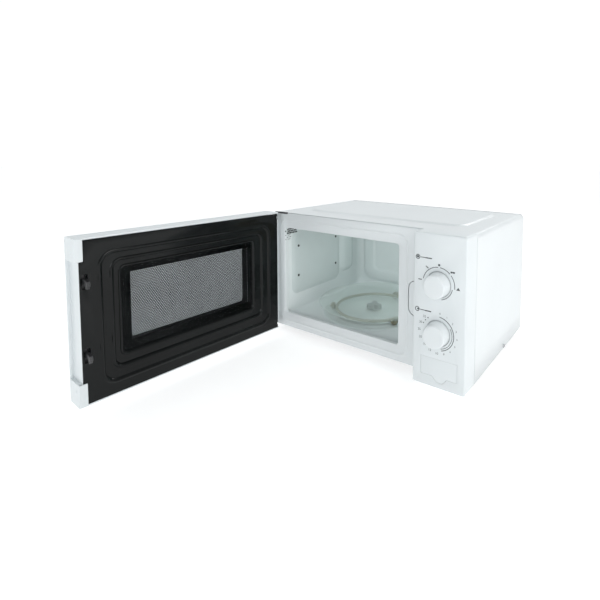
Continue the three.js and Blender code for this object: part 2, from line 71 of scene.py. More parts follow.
HINGE = [v / MM for v in joint("door_hinge")["pos_m"]]
OPEN_ANGLE = math.radians(-joint("door_hinge")["range_deg"][0])
DOOR_X0 = CAB_X0 + 1
DOOR_X1 = PANEL_X0 - 1
DOOR_DEPTH = 36.5
DOOR_BACK = FRONT + DOOR_DEPTH
GRIP_DEPTH = 4.7
GRIP_Z = (34, 207)
WINDOW = (-168, 81, 48, 198)
OPENING = (-184, 82.5, 30, 206.6)
SIDE_BEND = 5  # radius with which the front plate turns into the cavity's left wall
SCREEN = (-153, 56, 71, 177)
OUTER_RIDGE, MIDDLE_RIDGE, INNER_RIDGE = (-196, 101, 21, 216), (-181, 85, 39, 202), (-164, 73, 55, 190)
LATCH_X = 119.3
LATCH_Z = (75, 180)
TURN_X, TURN_Y, _ = [v / MM for v in joint("turntable_spin")["pos_m"]]
KNOB_X = joint("power_knob_turn")["pos_m"][0] / MM
POWER_Z = joint("power_knob_turn")["pos_m"][2] / MM
TIMER_Z = joint("timer_knob_turn")["pos_m"][2] / MM

# door pieces are drawn where they are with the door closed, then swung open about the hinge
SWING = (
    Matrix.Translation(Vector(HINGE))
    @ Matrix.Rotation(-OPEN_ANGLE, 4, "Z")
    @ Matrix.Translation(-Vector(HINGE))
)


# ---- materials -----------------------------------------------------------------------
GRAIN_HEIGHT = 0.0006  # metres of relief that the fine grain stands for
FACING_BLEND = 0.35


def finish(name, colour, roughness, metallic=0.0, vary=0.03, grain=400.0, bump=0.02, **extra):
    """A procedural material: slow colour drift, fine grain in roughness and bump."""
    mat = bpy.data.materials.new(name)
    mat.use_nodes = True
    nodes, links = mat.node_tree.nodes, mat.node_tree.links
    shader = nodes["Principled BSDF"]
    place = nodes.new("ShaderNodeTexCoord")
    slow = nodes.new("ShaderNodeTexNoise")
    slow.inputs["Scale"].default_value = extra.pop("drift", 9.0)
    slow.inputs["Detail"].default_value = 4.0
    links.new(place.outputs["Object"], slow.inputs["Vector"])
    ramp = nodes.new("ShaderNodeValToRGB")
    ramp.color_ramp.elements[0].position = 0.35
    ramp.color_ramp.elements[1].position = 0.65
    ramp.color_ramp.elements[0].color = (*[c * (1 - vary) for c in colour], 1)
    ramp.color_ramp.elements[1].color = (*[min(1, c * (1 + vary)) for c in colour], 1)
    links.new(slow.outputs["Fac"], ramp.inputs["Fac"])
    links.new(ramp.outputs["Color"], shader.inputs["Base Color"])
    fine = nodes.new("ShaderNodeTexNoise")
    fine.inputs["Scale"].default_value = grain
    fine.inputs["Detail"].default_value = 3.0
    stretch = nodes.new("ShaderNodeMapping")
    stretch.inputs["Scale"].default_value = extra.pop("stretch", (1, 1, 1))
    links.new(place.outputs["Object"], stretch.inputs["Vector"])
    links.new(stretch.outputs["Vector"], fine.inputs["Vector"])
    half_spread = extra.pop("rough_spread", 0.05)
    spread = nodes.new("ShaderNodeMapRange")
    spread.inputs["To Min"].default_value = max(0.0, roughness - half_spread)
    spread.inputs["To Max"].default_value = roughness + half_spread
    links.new(fine.outputs["Fac"], spread.inputs["Value"])
    links.new(spread.outputs["Result"], shader.inputs["Roughness"])
    relief = nodes.new("ShaderNodeBump")
    relief.inputs["Strength"].default_value = bump
    relief.inputs["Distance"].default_value = GRAIN_HEIGHT
    links.new(fine.outputs["Fac"], relief.inputs["Height"])
    links.new(relief.outputs["Normal"], shader.inputs["Normal"])
    shader.inputs["Metallic"].default_value = metallic
    for socket, value in extra.items():
        shader.inputs[socket.replace("_", " ")].default_value = value
    return mat


WHITE_PAINT = finish("white_paint", (0.715, 0.745, 0.755), 0.33, grain=620, bump=0.12, vary=0.012)
WHITE_PLASTIC = finish("white_plastic", (0.705, 0.740, 0.752), 0.38, grain=900, bump=0.05, vary=0.012)
KNOB_WHITE = finish("knob_white", (0.715, 0.748, 0.760), 0.34, grain=900, bump=0.04, vary=0.01)
CAVITY_ENAMEL = finish("cavity_enamel", (0.69, 0.75, 0.745), 0.24, grain=700, bump=0.10, vary=0.025)
BLACK_GLOSS = finish(
    "black_gloss", (0.004, 0.005, 0.005), 0.13, grain=240, bump=0.02, vary=0.25,
    Specular_IOR_Level=0.22,
)
BLACK_SCREEN = finish(
    "black_screen", (0.012, 0.012, 0.013), 0.42, grain=900, bump=0.03, vary=0.2,
    Specular_IOR_Level=0.35,
)
BLACK_PLASTIC = finish("black_plastic", (0.022, 0.022, 0.024), 0.42, grain=1200, bump=0.12, vary=0.15)
# Painted shade: near-black matte discs stand in for the shade inside the cavity's vent holes.
HOLE_SHADE = finish(
    "painted_hole_shade", (0.006, 0.006, 0.006), 0.9, grain=900, bump=0.05, vary=0.3, Specular_IOR_Level=0.05,
)
# Dark steel for the hinge arms, and painted shade for the screws' cross recesses.
STEEL = finish("zinc_steel", (0.46, 0.47, 0.48), 0.34, 1.0, vary=0.08, stretch=(1, 12, 1), bump=0.06)
DARK_STEEL_AND_RECESS_SHADE = finish("dark_steel_and_recess_shade", (0.12, 0.12, 0.125), 0.40, 1.0, vary=0.1, bump=0.08)
ALUMINIUM = finish("aluminium", (0.68, 0.69, 0.70), 0.36, 1.0, vary=0.05, stretch=(1, 1, 10), bump=0.05)
COPPER = finish("copper_winding", (0.50, 0.20, 0.08), 0.35, 0.9, vary=0.1, stretch=(1, 1, 30), bump=0.3)
RUBBER = finish("black_rubber", (0.03, 0.03, 0.032), 0.75, grain=800, bump=0.2, vary=0.12)
ROLLER = finish("roller_brown", (0.33, 0.32, 0.23), 0.42, grain=900, bump=0.06, vary=0.06)
PHENOLIC = finish("phenolic_brown", (0.10, 0.065, 0.04), 0.5, grain=700, bump=0.1, vary=0.15)
COUPLER_GREY = finish("coupler_grey", (0.16, 0.17, 0.17), 0.38, grain=900, bump=0.08, vary=0.12)
MICA = finish("mica", (0.50, 0.45, 0.34), 0.5, grain=160, bump=0.25, vary=0.15, drift=60)
CIRCUIT = finish("circuit_board", (0.03, 0.14, 0.06), 0.4, grain=300, bump=0.1, vary=0.15)
PRINT = finish("panel_print", (0.075, 0.085, 0.09), 0.6, grain=900, bump=0.02, vary=0.1)
GLASS = finish(
    "clear_glass", (0.66, 0.75, 0.71), 0.04, rough_spread=0.01, vary=0.02, bump=0.004,
    Specular_IOR_Level=0.6,
)
LAMP_GLASS = finish("lamp_glass", (0.80, 0.84, 0.84), 0.05, rough_spread=0.02, vary=0.02, bump=0.004)


def see_through(material, face, edge):
    """Lets light through where the surface is seen face on and less where it is seen edge on."""
    nodes, links = material.node_tree.nodes, material.node_tree.links
    weight = nodes.new("ShaderNodeLayerWeight")
    weight.inputs["Blend"].default_value = FACING_BLEND
    solid = nodes.new("ShaderNodeMapRange")
    solid.inputs["To Min"].default_value = face
    solid.inputs["To Max"].default_value = edge
    links.new(weight.outputs["Facing"], solid.inputs["Value"])
    links.new(solid.outputs["Result"], nodes["Principled BSDF"].inputs["Alpha"])


see_through(GLASS, 0.10, 0.42)
see_through(LAMP_GLASS, 0.25, 0.7)
WINDOW_GLASS = finish(
    "window_glass", (0.62, 0.64, 0.65), 0.02, rough_spread=0.01, vary=0.02, bump=0.0,
    Transmission_Weight=1.0, IOR=1.05,
)


# ---- shape helpers -------------------------------------------------------------------
SHARP_EDGE = 32  # degrees between faces from which an edge is drawn sharp
PLANES = {
    "front": lambda u, v, w: (u, w, v),
    "top": lambda u, v, w: (u, v, w),
    "side": lambda u, v, w: (w, u, v),
}


def loop(box, radius, w, steps=7):
    """A rounded rectangle (u0, u1, v0, v1) at height w, the same number of points every time."""
    u0, u1, v0, v1 = box
    points = []
    centres = ((u1, v0, -90), (u1, v1, 0), (u0, v1, 90), (u0, v0, 180))
    for cu, cv, start in centres:
        mu = cu - radius if cu == u1 else cu + radius
        mv = cv - radius if cv == v1 else cv + radius
        for i in range(steps + 1):
            angle = math.radians(start + 90 * i / steps)
            points.append((mu + radius * math.cos(angle), mv + radius * math.sin(angle), w))
    return points


def inset(box, by):
    """The same box with every side moved in by a distance."""
    u0, u1, v0, v1 = box
    return (u0 + by, u1 - by, v0 + by, v1 - by)


def nested(box, radius, level, steps):
    """Rounded rectangles one inside the other, from steps of (inset, height) over a level."""
    return [loop(inset(box, by), radius - by, level + height) for by, height in steps]


def arc(start, end, steps=8):
    """Angles in radians from start to end, both included."""
    return [start + (end - start) * i / steps for i in range(steps + 1)]


def smooth(mesh):
    mesh.polygons.foreach_set("use_smooth", [True] * len(mesh.polygons))
    mesh.set_sharp_from_angle(angle=math.radians(SHARP_EDGE))


def mesh_of(bm, name):
    """Turns a bmesh in millimetres into a mesh in metres."""
    bmesh.ops.recalc_face_normals(bm, faces=bm.faces)
    bmesh.ops.scale(bm, vec=(MM, MM, MM), verts=bm.verts)
    mesh = bpy.data.meshes.new(name)
    bm.to_mesh(mesh)
    bm.free()
    smooth(mesh)
    return mesh


def add_loft(bm, loops, plane="front", cap_last=False):
    """Joins loops of equally many points by faces; cap_last closes the last one."""
    put = PLANES[plane]
    rows = [[bm.verts.new(put(*point)) for point in row] for row in loops]
    count = len(rows[0])
    for near, far in zip(rows, rows[1:]):
        for i in range(count):
            j = (i + 1) % count
            bm.faces.new((near[i], near[j], far[j], far[i]))
    if cap_last:
        bm.faces.new(rows[-1])


def plate_mesh(outline, holes, w0, w1, bevel=0.0, plane="front"):
    """A flat plate with holes and softened edges, from 2D outlines, as a mesh in millimetres."""
    curve = bpy.data.curves.new("outline", "CURVE")
    curve.dimensions = "2D"
    curve.fill_mode = "BOTH"
    curve.extrude = (w1 - w0) / 2 - bevel
    curve.bevel_depth = bevel
    curve.bevel_resolution = 2
    curve.offset = -bevel
    for points in [outline, *holes]:
        spline = curve.splines.new("POLY")
        spline.points.add(len(points) - 1)
        for target, point in zip(spline.points, points):
            target.co = (point[0], point[1], 0, 1)
        spline.use_cyclic_u = True
    holder = bpy.data.objects.new("outline", curve)
    bpy.context.scene.collection.objects.link(holder)
    seen = holder.evaluated_get(bpy.context.evaluated_depsgraph_get())
    mesh = bpy.data.meshes.new_from_object(seen)
    bpy.data.objects.remove(holder)
    put = PLANES[plane]
    middle = (w0 + w1) / 2
    for vertex in mesh.vertices:
        u, v, w = vertex.co
        vertex.co = put(u, v, w + middle)
    return mesh


def add_plate(bm, outline, holes, w0, w1, bevel=0.0, plane="front"):
    """Adds a plate from w0 to w1 to a bmesh, its own doubled points joined."""
    mesh = plate_mesh(outline, holes, w0, w1, bevel, plane)
    start = len(bm.verts)
    bm.from_mesh(mesh)
    bm.verts.ensure_lookup_table()
    fresh = [bm.verts[i] for i in range(start, len(bm.verts))]
    bmesh.ops.remove_doubles(bm, verts=fresh, dist=0.002)
    bpy.data.meshes.remove(mesh)


def rounded(box, radius, steps=7):
    return [p[:2] for p in loop(box, radius, 0, steps)]


def circle(u, v, radius, steps=28):
    return [
        (u + radius * math.cos(2 * math.pi * i / steps), v + radius * math.sin(2 * math.pi * i / steps))
        for i in range(steps)
    ]


def add_lathe(bm, profile, centre, axis="z", steps=64):
    """Turns a profile of (radius, height) round an axis through centre."""
    put = {
        "z": lambda r, a, h: (centre[0] + r * math.cos(a), centre[1] + r * math.sin(a), h),
        "y": lambda r, a, h: (centre[0] + r * math.cos(a), h, centre[1] + r * math.sin(a)),
        "x": lambda r, a, h: (h, centre[0] + r * math.cos(a), centre[1] + r * math.sin(a)),
    }[axis]
    rows = []
    for radius, height in profile:
        if radius == 0:
            rows.append([bm.verts.new(put(0, 0, height))])
        else:
            turn = [2 * math.pi * i / steps for i in range(steps)]
            rows.append([bm.verts.new(put(radius, a, height)) for a in turn])
    for near, far in zip(rows, rows[1:]):
        for i in range(steps):
            j = (i + 1) % steps
            quad = (near[i % len(near)], near[j % len(near)], far[j % len(far)], far[i % len(far)])
            face = list(dict.fromkeys(quad))
            if len(face) > 2:
                bm.faces.new(face)


def add_box(bm, x0, x1, y0, y1, z0, z1):
    size = Matrix.Diagonal((x1 - x0, y1 - y0, z1 - z0, 1))
    middle = Matrix.Translation(((x0 + x1) / 2, (y0 + y1) / 2, (z0 + z1) / 2))
    bmesh.ops.create_cube(bm, size=1, matrix=middle @ size)


def piece(name, bm, body, material, nodes=(), swing=False, thickness=0.0):
    """Makes an object of a bmesh: its look, the body it rides on, the nodes that it stands in for."""
    if swing:
        bmesh.ops.transform(bm, matrix=SWING, verts=bm.verts)
    obj = bpy.data.objects.new(name, mesh_of(bm, name))
    bpy.context.scene.collection.objects.link(obj)
    obj.data.materials.append(material)
    if thickness:
        sheet = obj.modifiers.new("sheet", "SOLIDIFY")
        sheet.thickness = abs(thickness) * MM
        sheet.offset = math.copysign(1, thickness)
    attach(obj, body)
    if nodes:
        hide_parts(*nodes)
    return obj


# ---- cabinet -------------------------------------------------------------------------
def plateau(x, y, box, radius, step):
    """0 outside a rounded rectangle, 1 inside, with a smooth step between."""
    x0, x1, y0, y1 = box
    dx = max(x0 + radius - x, x - (x1 - radius))
    dy = max(y0 + radius - y, y - (y1 - radius))
    outside = math.hypot(max(dx, 0), max(dy, 0)) + min(max(dx, dy), 0)
    t = min(1, max(0, (radius - outside) / step))
    return t * t * (3 - 2 * t)


def cabinet_wrapper():
    """One folded sheet: left side, raised top and right side."""
    bend, skirt = 8, 40
    rise = 2.4
    top = CAB_Z1 - rise
    raised, raised_radius, slope = (-178, 178, -64, 118), 30, 5.5
    across, along = 170, 110
    left_bend, right_bend = CAB_X0 + bend, CAB_X1 - bend
    section = [(CAB_X0, CAB_Z0), (CAB_X0, CAB_Z0 + skirt), (CAB_X0, top - skirt)]
    for a in arc(math.pi, math.pi / 2):
        section.append((left_bend + bend * math.cos(a), top - bend + bend * math.sin(a)))
    for i in range(1, across):
        section.append((left_bend + (right_bend - left_bend) * i / across, top))
    for a in arc(math.pi / 2, 0):
        section.append((right_bend + bend * math.cos(a), top - bend + bend * math.sin(a)))
    section += [(CAB_X1, top - skirt), (CAB_X1, CAB_Z0 + skirt), (CAB_X1, CAB_Z0)]
    start = PLATE_BACK + 0.4
    bm = bmesh.new()
    rows = []
    for j in range(along + 1):
        y = start + (CAB_Y1 - start) * j / along
        row = []
        for x, z in section:
            lift = rise * plateau(x, y, raised, raised_radius, slope) if z == top else 0
            row.append(bm.verts.new((x, y, z + lift)))
        rows.append(row)
    for near, far in zip(rows, rows[1:]):
        for i in range(len(section) - 1):
            bm.faces.new((near[i], near[i + 1], far[i + 1], far[i]))
    piece(
        "cabinet_wrapper", bm, "cabinet", WHITE_PAINT, ["outer_cabinet"], thickness=-1.0,
    )


def screw(name, u, v, w, plane, way, radius=3.6):
    """A pan-head screw on a face at w, its cross recess drawn as dark bars of painted shade; way is the
    face's outward sign.
    """
    head = 1.65
    steps = [(0, 0), (radius, 0), (radius, 0.5), (radius * 0.86, 1.2), (radius * 0.5, 1.6), (0, head)]
    axis = {"front": "y", "side": "x"}[plane]
    bm = bmesh.new()
    add_lathe(bm, [(r, w + way * height) for r, height in steps], (u, v), axis, 28)
    piece(name, bm, "cabinet", STEEL)
    # Painted shade: the cross recess is two dark steel bars standing just proud of the head, not a hollow.
    arm, half = radius * 0.62, radius * 0.14
    near, far = sorted((w + way * 1.2, w + way * 1.72))
    bm = bmesh.new()
    for du, dv in ((arm, half), (half, arm)):
        if plane == "front":
            add_box(bm, u - du, u + du, near, far, v - dv, v + dv)
        else:
            add_box(bm, near, far, u - du, u + du, v - dv, v + dv)
    piece(name + "_recess_shade", bm, "cabinet", DARK_STEEL_AND_RECESS_SHADE)


def front_plate():
    """The painted plate round the opening: border bead, rolled lip and finger scoop."""
    outline = rounded((CAB_X0, CAB_X1, 0.6, CAB_Z1 - 3.6), 4)
    lip_start = FLOOR_X0 + 0.2 - SIDE_BEND
    scoop, scoop_radius = (101.4, 131.4, 87.5, 148), 14
    holes = [rounded((lip_start, *OPENING[1:]), SIDE_BEND)]
    holes += [rounded((LATCH_X - 6, LATCH_X + 6, z - 14, z + 11), 2) for z in LATCH_Z]
    holes.append(rounded(scoop, scoop_radius))
    bm = bmesh.new()
    add_plate(bm, outline, holes, PLATE_FRONT, PLATE_BACK, 0.35)
    border, border_radius = (-201, 99, 13, 222), 16
    bead = [(-2.4, 0.1), (-1.4, -0.55), (0, -0.9), (1.4, -0.55), (2.4, 0.1)]
    add_loft(bm, nested(border, border_radius, PLATE_FRONT, bead))
    overlap = 0.8
    lip = [loop((lip_start - overlap, *inset(OPENING, -overlap)[1:]), SIDE_BEND, PLATE_FRONT + 0.12)]
    for a in arc(0, math.pi / 2):
        box = (lip_start + SIDE_BEND * math.sin(a), *inset(OPENING, 1.2 * math.sin(a) - 0.6)[1:])
        lip.append(loop(box, SIDE_BEND, PLATE_FRONT + 0.14 + SIDE_BEND * (1 - math.cos(a))))
    add_loft(bm, lip)
    dish = [(0.8, 0.9), (1.2, 0.6), (2.2, 0.75), (6.0, 0.9)]
    add_loft(bm, nested(scoop, scoop_radius, PLATE_FRONT - 0.02, dish), cap_last=True)
    piece("front_plate_pressing", bm, "cabinet", WHITE_PAINT, ["front_plate"])


def rear_cover():
    """The steel back: louvres behind the fan, a row of vents, the gland's hole, two pressed frames."""
    (fan_x0, _, fan_z0), (fan_x1, _, fan_z1) = corners("fan_housing")
    fan_middle = (fan_x0 + fan_x1) / 2
    margin, half_bridge, half_slot = 14, 2, 2.1
    rows = 9
    holes = []
    for i in range(rows):
        z = fan_z0 + margin + (fan_z1 - fan_z0 - 2 * margin) * i / (rows - 1)
        left_slot = (fan_x0 + margin, fan_middle - half_bridge)
        right_slot = (fan_middle + half_bridge, fan_x1 - margin)
        for x0, x1 in (left_slot, right_slot):
            holes.append(rounded((x0, x1, z - half_slot, z + half_slot), half_slot - 0.05, 4))
    vents, first_vent, vent_pitch, half_vent = 10, -150, 9, 2
    for i in range(vents):
        x = first_vent + vent_pitch * i
        holes.append(rounded((x - half_vent, x + half_vent, 60, 100), half_vent - 0.05, 4))
    (gland_x0, _, gland_z0), (gland_x1, _, gland_z1) = corners("cord_gland")
    holes.append(circle((gland_x0 + gland_x1) / 2, (gland_z0 + gland_z1) / 2, 6.6))
    bm = bmesh.new()
    outline = rounded((CAB_X0 + 3, CAB_X1 - 3, 2, CAB_Z1 - 2), 4)
    add_plate(bm, outline, holes, BACK - 1.0, BACK, 0.25)
    bead = [(-2.6, -0.1), (-1.2, -0.35), (0, -0.5), (1.2, -0.35), (2.6, -0.1)]
    for frame_box in ((-195, 60, 30, 130), (-195, 60, 140, 225)):
        add_loft(bm, nested(frame_box, 12, BACK + 0.45, bead))
    piece("rear_cover", bm, "cabinet", STEEL, ["rear_panel"])


def base_and_feet():
    """The base pan with its row of slots, and four rubber feet with hollow soles."""
    (x0, y0, _), (x1, y1, z1) = corners("base_plate")
    slots, first_slot, slot_pitch, slot_width = 8, -120, 14, 6
    starts = [first_slot + slot_pitch * i for i in range(slots)]
    holes = [rounded((x, x + slot_width, 40, 90), slot_width / 2 - 0.1, 4) for x in starts]
    bm = bmesh.new()
    add_plate(bm, rounded((x0, x1, y0, y1), 4), holes, 0, z1, 0.25, "top")
    piece("base_pan", bm, "cabinet", STEEL, ["base_plate"])
    for node in ("foot_front_left", "foot_front_right", "foot_rear_left", "foot_rear_right"):
        (left, near, low), (right, far, high) = corners(node)
        r = (right - left) / 2
        profile = [
            (0, high), (r, high), (r, high - 1.5), (r - 1.4, low + 3), (r - 2.2, low + 0.8), (r - 3.4, low),
            (5, low), (4.6, low + 0.5), (4.4, low + 4), (0, low + 4),
        ]
        bm = bmesh.new()
        add_lathe(bm, profile, ((left + right) / 2, (near + far) / 2), "z", 40)
        piece(node + "_pad", bm, "cabinet", RUBBER, [node])


def hinges():
    """The two hinge arms on the cabinet; the lower one is the upper one turned over."""
    x, y = HINGE[0], HINGE[1]
    arm_inner = DOOR_X0 + 4.2
    arm = [
        (x - 6, y - 2), (x - 3, y - 6), (x + 3, y - 6), (x + 6, y - 2), (x + 4, y + 4), (arm_inner, y + 7),
        (arm_inner, PLATE_FRONT), (x - 6, PLATE_FRONT),
    ]
    for name, upper in (("hinge_upper", True), ("hinge_lower", False)):

        def at(low, high):
            return (low, high) if upper else (CAB_Z1 - high, CAB_Z1 - low)

        bm = bmesh.new()
        add_plate(bm, arm, [], *at(228, 230), 0.3, "top")
        z0, z1 = at(215, 231)
        pin = [(0, z0), (2.2, z0), (3, z0 + 0.8), (3, z1 - 0.8), (2.2, z1), (0, z1)]
        add_lathe(bm, pin, (x, y), "z", 24)
        if upper:
            leaf = (CAB_X0 + 3, -182, CAB_Z1 - 5.4, CAB_Z1 - 2.0)
            add_plate(bm, rounded(leaf, 0.5, 3), [], PLATE_FRONT - 0.5, PLATE_BACK, 0.2)
        piece(name + "_arm", bm, "cabinet", DARK_STEEL_AND_RECESS_SHADE, [name])
        bm = bmesh.new()
        flange = (x - 6, x + 9, *at(212, 231))
        add_plate(bm, rounded(flange, 1.5, 4), [], PLATE_FRONT - 0.4, PLATE_FRONT + 0.3, 0.15)
        piece(name + "_flange", bm, "cabinet", WHITE_PAINT)


# ---- cavity --------------------------------------------------------------------------
def cavity_liner():
    """Ceiling, floor and side walls as one tube that bends into the pressed rear wall."""
    section = (FLOOR_X0, FLOOR_X1, FLOOR_Z, CEILING_Z)
    bend = 16
    bend_start = REAR_Y - bend
    rows = [loop(section, 5, PLATE_BACK + 0.3), loop(section, 5, bend_start)]
    for i, a in enumerate(arc(0, math.pi / 2)[1:-1]):
        rows.append(loop(inset(section, bend * (1 - math.cos(a))), 8 + i, bend_start + bend * math.sin(a)))
    rows.append(loop(inset(section, bend), 16, REAR_Y))
    outer = (FLOOR_X0 + 14, FLOOR_X1 - 12, FLOOR_Z + 14, CEILING_Z - 12)
    inner = (FLOOR_X0 + 46, FLOOR_X1 - 44, FLOOR_Z + 42, CEILING_Z - 32)
    pressing = (
        (inset(outer, 1), 25, 0), (inset(outer, 3), 24, -0.8), (inset(outer, 7), 22, -3.4),
        (inset(outer, 10), 20, -4), (inset(inner, -2), 16, -4), (inner, 15, -3.6),
        (inset(inner, 4), 12, -1.2), (inset(inner, 6), 10, -0.6),
    )
    rows += [loop(box, radius, REAR_Y + height) for box, radius, height in pressing]
    bm = bmesh.new()
    add_loft(bm, rows, cap_last=True)
    nodes = ["cavity_floor", "cavity_ceiling", "cavity_left_wall", "cavity_right_wall", "cavity_rear_wall"]
    piece("cavity_liner", bm, "cabinet", CAVITY_ENAMEL, nodes, thickness=0.8)


def cavity_left_pressings():
    """A wide shallow field and a deeper bump at the back of the left wall."""
    field = (-99, 60, 60, 196)
    field_steps = [(0, -0.1), (2, 0.12), (4, 0.45), (6, 0.9), (8, 1.3), (10, 1.55), (12, 1.65)]
    bump = (60, 111, 72, CEILING_Z - 6)
    bump_steps = [(0, -0.4), (1, 0.4), (4, 3.5), (9, 6), (14, 7)]
    bm = bmesh.new()
    for box, steps in ((field, field_steps), (bump, bump_steps)):
        add_loft(bm, nested(box, 18, FLOOR_X0, steps), "side", cap_last=True)
    piece("cavity_left_pressings", bm, "cabinet", CAVITY_ENAMEL)


def cavity_plugs():
    """Four small plugs in the field of the left wall."""
    profile = [(2.6, 1.6), (2.6, 2.2), (1.6, 2.9), (0, 3)]
    bm = bmesh.new()
    for y in (-79.6, 43.5):
        for z in (99.5, 163):
            add_lathe(bm, [(r, FLOOR_X0 + height) for r, height in profile], (y, z), "x", 20)
    piece("cavity_plugs", bm, "cabinet", BLACK_PLASTIC)


def cavity_vents():
    """Air holes as discs of painted shade on the left wall, the first ones on the bend towards the front
    plate: the near-black stands in for the shade inside each hole.
    """
    pitch_y, pitch_z = 4.4, 4.1
    small_rows, rows = 3, 7
    lift = 0.2
    bm = bmesh.new()
    for row in range(rows):
        small = row < small_rows
        for column in range(3 if small else 7):
            y = PLATE_FRONT + 1.4 + pitch_y * column + (2.3 if row % 2 else 0)
            z = 181.6 + pitch_z * row
            lean = math.asin(min(max((PLATE_FRONT + SIDE_BEND - y) / SIDE_BEND, 0), 0.95))
            x = FLOOR_X0 + 2 * lift - (SIDE_BEND + lift) * (1 - math.cos(lean))
            y = max(y, PLATE_FRONT + SIDE_BEND * (1 - math.sin(lean)) - lift * math.sin(lean))
            flat = circle(0, 0, 1.0 if small else 1.8, 14)
            disc = [(x + du * math.sin(lean), y + du * math.cos(lean), z + dv) for du, dv in flat]
            bm.faces.new([bm.verts.new(point) for point in disc])
    piece("cavity_vent_hole_shade", bm, "cabinet", HOLE_SHADE)


def cavity_floor_track():
    """The floor's raised rings, in which the rollers run."""
    track = [(0, 0.1), (16, 0.1), (19, 0.9), (70, 0.9), (73, 0.1), (100, 0.1), (103, 0.8), (107, 0.1)]
    bm = bmesh.new()
    add_lathe(bm, [(r, FLOOR_Z + height) for r, height in track], (TURN_X, TURN_Y), "z", 80)
    piece("cavity_floor_pressing", bm, "cabinet", CAVITY_ENAMEL)


# ---- turntable -----------------------------------------------------------------------
def glass_plate():
    (x0, _, z0), (x1, _, z1) = corners("glass_turntable")
    r = (x1 - x0) / 2
    profile = [
        (0, z0), (26, z0), (27, z0 - 0.4), (31, z0 - 0.4), (32, z0), (r - 20, z0), (r - 12, z0 + 0.4),
        (r - 6, z0 + 2.2), (r - 2.4, z0 + 5), (r - 0.5, z1 - 1.5), (r, z1 - 0.5), (r - 0.7, z1),
        (r - 2, z1 - 0.3), (r - 5, z1 - 2.6), (r - 10, z0 + 5.4), (r - 17, z0 + 4.4),
        (r - 24, z0 + 4.2), (0, z0 + 4.2),
    ]
    bm = bmesh.new()
    add_lathe(bm, profile, (TURN_X, TURN_Y), "z", 96)
    piece("glass_plate", bm, "plate", GLASS, ["glass_turntable"])


def roller_ring():
    """A hoop with three axles, and a wheel on each."""
    (_, _, low), (_, _, high) = corners("roller_ring")
    middle = (low + high) / 2
    wheels = [[v / MM for v in joint(f"wheel_{i + 1}_roll")["pos_m"]] for i in range(3)]
    reach = math.hypot(wheels[0][0] - TURN_X, wheels[0][1] - TURN_Y)
    hoop = bmesh.new()
    band = [(reach - 8.5 + 3.3 * math.cos(a), middle + 3.0 * math.sin(a)) for a in arc(0, 2 * math.pi, 16)]
    add_lathe(hoop, band, (TURN_X, TURN_Y), "z", 96)
    axle = [
        (0, reach - 9), (2.3, reach - 9), (2.3, reach + 5), (3.4, reach + 5.4), (3.4, reach + 6.4),
        (0, reach + 6.8),
    ]
    radius = 7
    tread = [
        (2.6, -3.2), (5.6, -3.5), (radius - 0.4, -3.0), (radius, -2.2), (radius, 2.2), (radius - 0.4, 3.0),
        (5.6, 3.5), (2.6, 3.2), (2.6, -3.2),
    ]
    for i, (x, y, _) in enumerate(wheels):
        angle = math.atan2(y - TURN_Y, x - TURN_X)
        turn = Matrix.Translation((TURN_X, TURN_Y, 0)) @ Matrix.Rotation(angle, 4, "Z")
        stub = bmesh.new()
        add_lathe(stub, axle, (0, middle), "x", 20)
        bmesh.ops.transform(stub, matrix=turn, verts=stub.verts)
        stub_mesh = bpy.data.meshes.new("stub")
        stub.to_mesh(stub_mesh)
        stub.free()
        hoop.from_mesh(stub_mesh)
        bpy.data.meshes.remove(stub_mesh)
        wheel = bmesh.new()
        add_lathe(wheel, [(r, reach + across) for r, across in tread], (0, middle), "x", 40)
        bmesh.ops.transform(wheel, matrix=turn, verts=wheel.verts)
        name = f"wheel_{i + 1}"
        piece(f"roller_{i + 1}", wheel, name, ROLLER, [f"roller_{name}"])
    piece("roller_hoop", hoop, "ring", ROLLER, ["roller_ring"])


def drive_coupler():
    """The three-lobed driver under the glass plate, on its shaft."""
    top = corners("turntable_coupler")[1][2]
    mean_radius, lobe, points = 12.5, 5, 90
    outline = []
    for i in range(points):
        a = 2 * math.pi * i / points
        reach = mean_radius + lobe * math.cos(3 * a)
        outline.append((TURN_X + reach * math.cos(a), TURN_Y + reach * math.sin(a)))
    shaft = [(0, -6), (4.2, -6), (4.2, 1.5), (9, 2.2), (9, 5), (0, 5)]
    bm = bmesh.new()
    add_plate(bm, outline, [], FLOOR_Z + 4, top, 1.2, "top")
    add_lathe(bm, [(r, FLOOR_Z + height) for r, height in shaft], (TURN_X, TURN_Y), "z", 32)
    piece("drive_coupler", bm, "coupler", COUPLER_GREY, ["turntable_coupler"])


# ---- control panel -------------------------------------------------------------------
BUTTON_X = (147, 207.5)
BUTTON_Z = (18, 46)
BUTTON_TAB = 8


def button_outline(grow):
    """The release button's outline with its tab at the bottom, larger by grow on every side."""
    left, right = BUTTON_X[0] - grow, BUTTON_X[1] + grow
    low, high = BUTTON_Z[0] - grow, BUTTON_Z[1] + grow
    middle = sum(BUTTON_X) / 2 + 1.5
    return [
        (left, low), (middle - 12 - grow, low), (middle - 5 - grow, low - BUTTON_TAB),
        (middle + 5 + grow, low - BUTTON_TAB), (middle + 12 + grow, low), (right, low),
        (right, high), (left, high),
    ]


